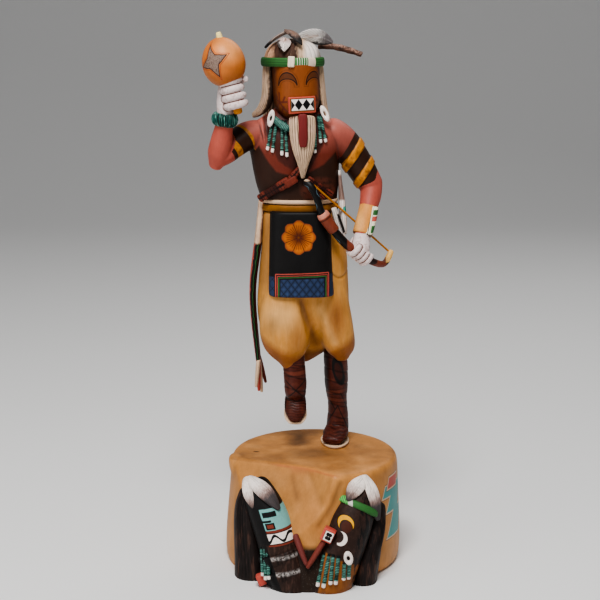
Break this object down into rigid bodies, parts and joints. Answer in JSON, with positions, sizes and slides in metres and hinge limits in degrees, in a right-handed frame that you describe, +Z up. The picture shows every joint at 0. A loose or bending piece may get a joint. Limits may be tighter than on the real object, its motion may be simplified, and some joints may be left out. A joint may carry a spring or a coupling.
{
  "type": "kachina doll",
  "caption": "Carved and painted wooden dancing figure with mask, rattle and bow, standing on one foot on a round base with two mask heads in relief.",
  "frame": {"origin": "middle of the base's flat underside", "axes": "+Z up along the standing figure, the doll faces -Y, its right hand with the rattle is at -X"},
  "size_m": [0.1421, 0.1475, 0.3854],
  "materials": {
    "base_wood": "satin varnish over tan-orange wood, with painted relief masks",
    "figure_wood": "matte acrylic paint and wood stain",
    "gourd_wood": "satin orange-tan stain with a burnt-in star",
    "stick_wood": "matte pale yellow paint",
    "bow_wood": "satin black and red-brown paint",
    "string_cord": "matte twisted cord",
    "feather_grey": "matte paint, carved barbs",
    "feather_pale": "matte paint, carved barbs",
    "feather_brown": "matte paint, carved barbs",
    "feather_white": "matte paint, carved barbs",
    "plume_brown": "matte brown paint, rough cut"
  },
  "bodies": {
    "root": {"base": "base_wood", "figure": "figure_wood", "rattle_gourd": "gourd_wood", "rattle_stick": "stick_wood", "bow": "bow_wood", "bowstring": "string_cord", "feather_left": "feather_grey", "feather_front": "feather_pale", "feather_middle": "feather_brown", "feather_broad": "feather_white", "plume": "plume_brown"}
  },
  "joints": []
}
